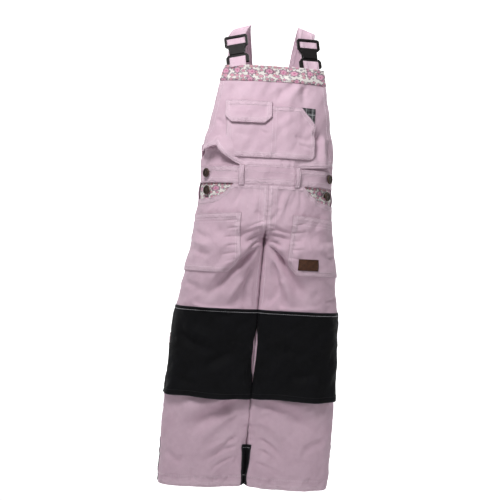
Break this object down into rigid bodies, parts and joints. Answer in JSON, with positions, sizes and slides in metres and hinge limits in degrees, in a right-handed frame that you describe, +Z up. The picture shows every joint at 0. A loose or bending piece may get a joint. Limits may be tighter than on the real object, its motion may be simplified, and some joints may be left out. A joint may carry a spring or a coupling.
{
  "type": "child's bib overalls",
  "caption": "Child's bib-and-brace work overalls with side-release strap buckles, patch pockets, knee and heel patches.",
  "frame": {"origin": "midway between the undersides of the two shoulder straps at their crests, where the shoulders carry the overalls", "axes": "+Z up, the front of the overalls faces -Y, +X towards the wearer's left"},
  "size_m": [0.3298, 0.1869, 0.873],
  "materials": {
    "pink_twill": "soft matt cotton-blend twill, faint diagonal weave",
    "floral_cotton": "printed plain-weave cotton, small pink flowers with grey outlines on off-white",
    "plaid_cotton": "black and white checked cotton",
    "black_canvas": "close-woven black canvas, slight sheen",
    "black_plastic": "moulded acetal, satin",
    "brown_leather": "smooth brown leather, plain",
    "dark_brass": "antiqued, nearly black in the recesses"
  },
  "bodies": {
    "root": {"bib_panel": "pink_twill", "chest_pocket": "pink_twill", "back_panel": "pink_twill", "back_waistband": "pink_twill", "tool_pocket": "pink_twill", "centre_back_belt_loop": "pink_twill", "right_front_leg": "pink_twill", "right_back_leg": "pink_twill", "right_hand_pocket_bag": "pink_twill", "right_front_waistband": "pink_twill", "right_thigh_pocket": "pink_twill", "right_seat_pocket": "pink_twill", "right_front_belt_loop": "pink_twill", "right_back_belt_loop": "pink_twill", "right_bib_tab": "pink_twill", "right_shoulder_strap": "pink_twill", "left_front_leg": "pink_twill", "left_back_leg": "pink_twill", "left_hand_pocket_bag": "pink_twill", "left_front_waistband": "pink_twill", "left_thigh_pocket": "pink_twill", "left_seat_pocket": "pink_twill", "left_front_belt_loop": "pink_twill", "left_back_belt_loop": "pink_twill", "left_bib_tab": "pink_twill", "left_shoulder_strap": "pink_twill", "bib_top_band": "floral_cotton", "tool_pocket_trim": "floral_cotton", "right_hand_pocket_facing": "floral_cotton", "left_hand_pocket_facing": "floral_cotton", "right_knee_patch": "black_canvas", "right_heel_panel": "black_canvas", "left_knee_patch": "black_canvas", "left_heel_panel": "black_canvas", "right_buckle_plug": "black_plastic", "left_buckle_plug": "black_plastic", "right_waist_button_tack": "dark_brass", "right_lower_button_tack": "dark_brass", "left_waist_button_tack": "dark_brass", "left_lower_button_tack": "dark_brass", "pen_pocket_facing": "plaid_cotton", "leather_label": "brown_leather"},
    "chest_flap": {"chest_pocket_flap": "pink_twill"},
    "right_buckle_half": {"right_buckle_socket": "black_plastic", "right_strap_weave": "pink_twill"},
    "right_inner_arm": {"right_inner_latch_arm": "black_plastic"},
    "right_outer_arm": {"right_outer_latch_arm": "black_plastic"},
    "right_waist_cap": {"right_waist_button": "dark_brass"},
    "right_lower_cap": {"right_lower_button": "dark_brass"},
    "left_buckle_half": {"left_buckle_socket": "black_plastic", "left_strap_weave": "pink_twill"},
    "left_inner_arm": {"left_inner_latch_arm": "black_plastic"},
    "left_outer_arm": {"left_outer_latch_arm": "black_plastic"},
    "left_waist_cap": {"left_waist_button": "dark_brass"},
    "left_lower_cap": {"left_lower_button": "dark_brass"}
  },
  "joints": [
    {"name": "right_buckle_release", "type": "slide", "parent": "root", "child": "right_buckle_half", "axis": [-0.1142, 0.377, 0.9192], "range_m": [0, 0.025], "deforming": ["right_inner_latch_arm", "right_outer_latch_arm"]},
    {"name": "right_inner_latch_squeeze", "type": "hinge", "parent": "root", "child": "right_inner_arm", "pos_m": [-0.05951, -0.04968, -0.0577], "axis": [-0.2432, -0.9077, 0.342], "range_deg": [0, 7], "stiffness_Nm_per_rad": 0.05},
    {"name": "right_outer_latch_squeeze", "type": "hinge", "parent": "root", "child": "right_outer_arm", "pos_m": [-0.07858, -0.04602, -0.06157], "axis": [0.2432, 0.9077, -0.342], "range_deg": [0, 7], "stiffness_Nm_per_rad": 0.05},
    {"name": "right_waist_button_swivel", "type": "hinge", "parent": "root", "child": "right_waist_cap", "pos_m": [-0.112, -0.04596, -0.281], "axis": [-0.8106, -0.5853, 0.0157], "continuous": true},
    {"name": "right_lower_button_swivel", "type": "hinge", "parent": "root", "child": "right_lower_cap", "pos_m": [-0.112, -0.04797, -0.313], "axis": [-0.792, -0.6078, 0.0576], "continuous": true},
    {"name": "left_buckle_release", "type": "slide", "parent": "root", "child": "left_buckle_half", "axis": [-0.1222, 0.3211, 0.9391], "range_m": [0, 0.025], "deforming": ["left_inner_latch_arm", "left_outer_latch_arm"]},
    {"name": "left_inner_latch_squeeze", "type": "hinge", "parent": "root", "child": "left_inner_arm", "pos_m": [0.05643, -0.05055, -0.05995], "axis": [-0.2432, 0.9077, -0.342], "range_deg": [0, 7], "stiffness_Nm_per_rad": 0.05},
    {"name": "left_outer_latch_squeeze", "type": "hinge", "parent": "root", "child": "left_outer_arm", "pos_m": [0.07548, -0.0452, -0.0593], "axis": [0.2432, -0.9077, 0.342], "range_deg": [0, 7], "stiffness_Nm_per_rad": 0.05},
    {"name": "left_waist_button_swivel", "type": "hinge", "parent": "root", "child": "left_waist_cap", "pos_m": [0.112, -0.04596, -0.281], "axis": [0.8229, -0.568, 0.0156], "continuous": true},
    {"name": "left_lower_button_swivel", "type": "hinge", "parent": "root", "child": "left_lower_cap", "pos_m": [0.112, -0.04797, -0.313], "axis": [0.8046, -0.5909, 0.058], "continuous": true},
    {"name": "chest_flap_lift", "type": "hinge", "parent": "root", "child": "chest_flap", "pos_m": [-0.0445, -0.0775, -0.146], "axis": [-0.9897, 0.1435, 0], "range_deg": [0, 150]}
  ]
}
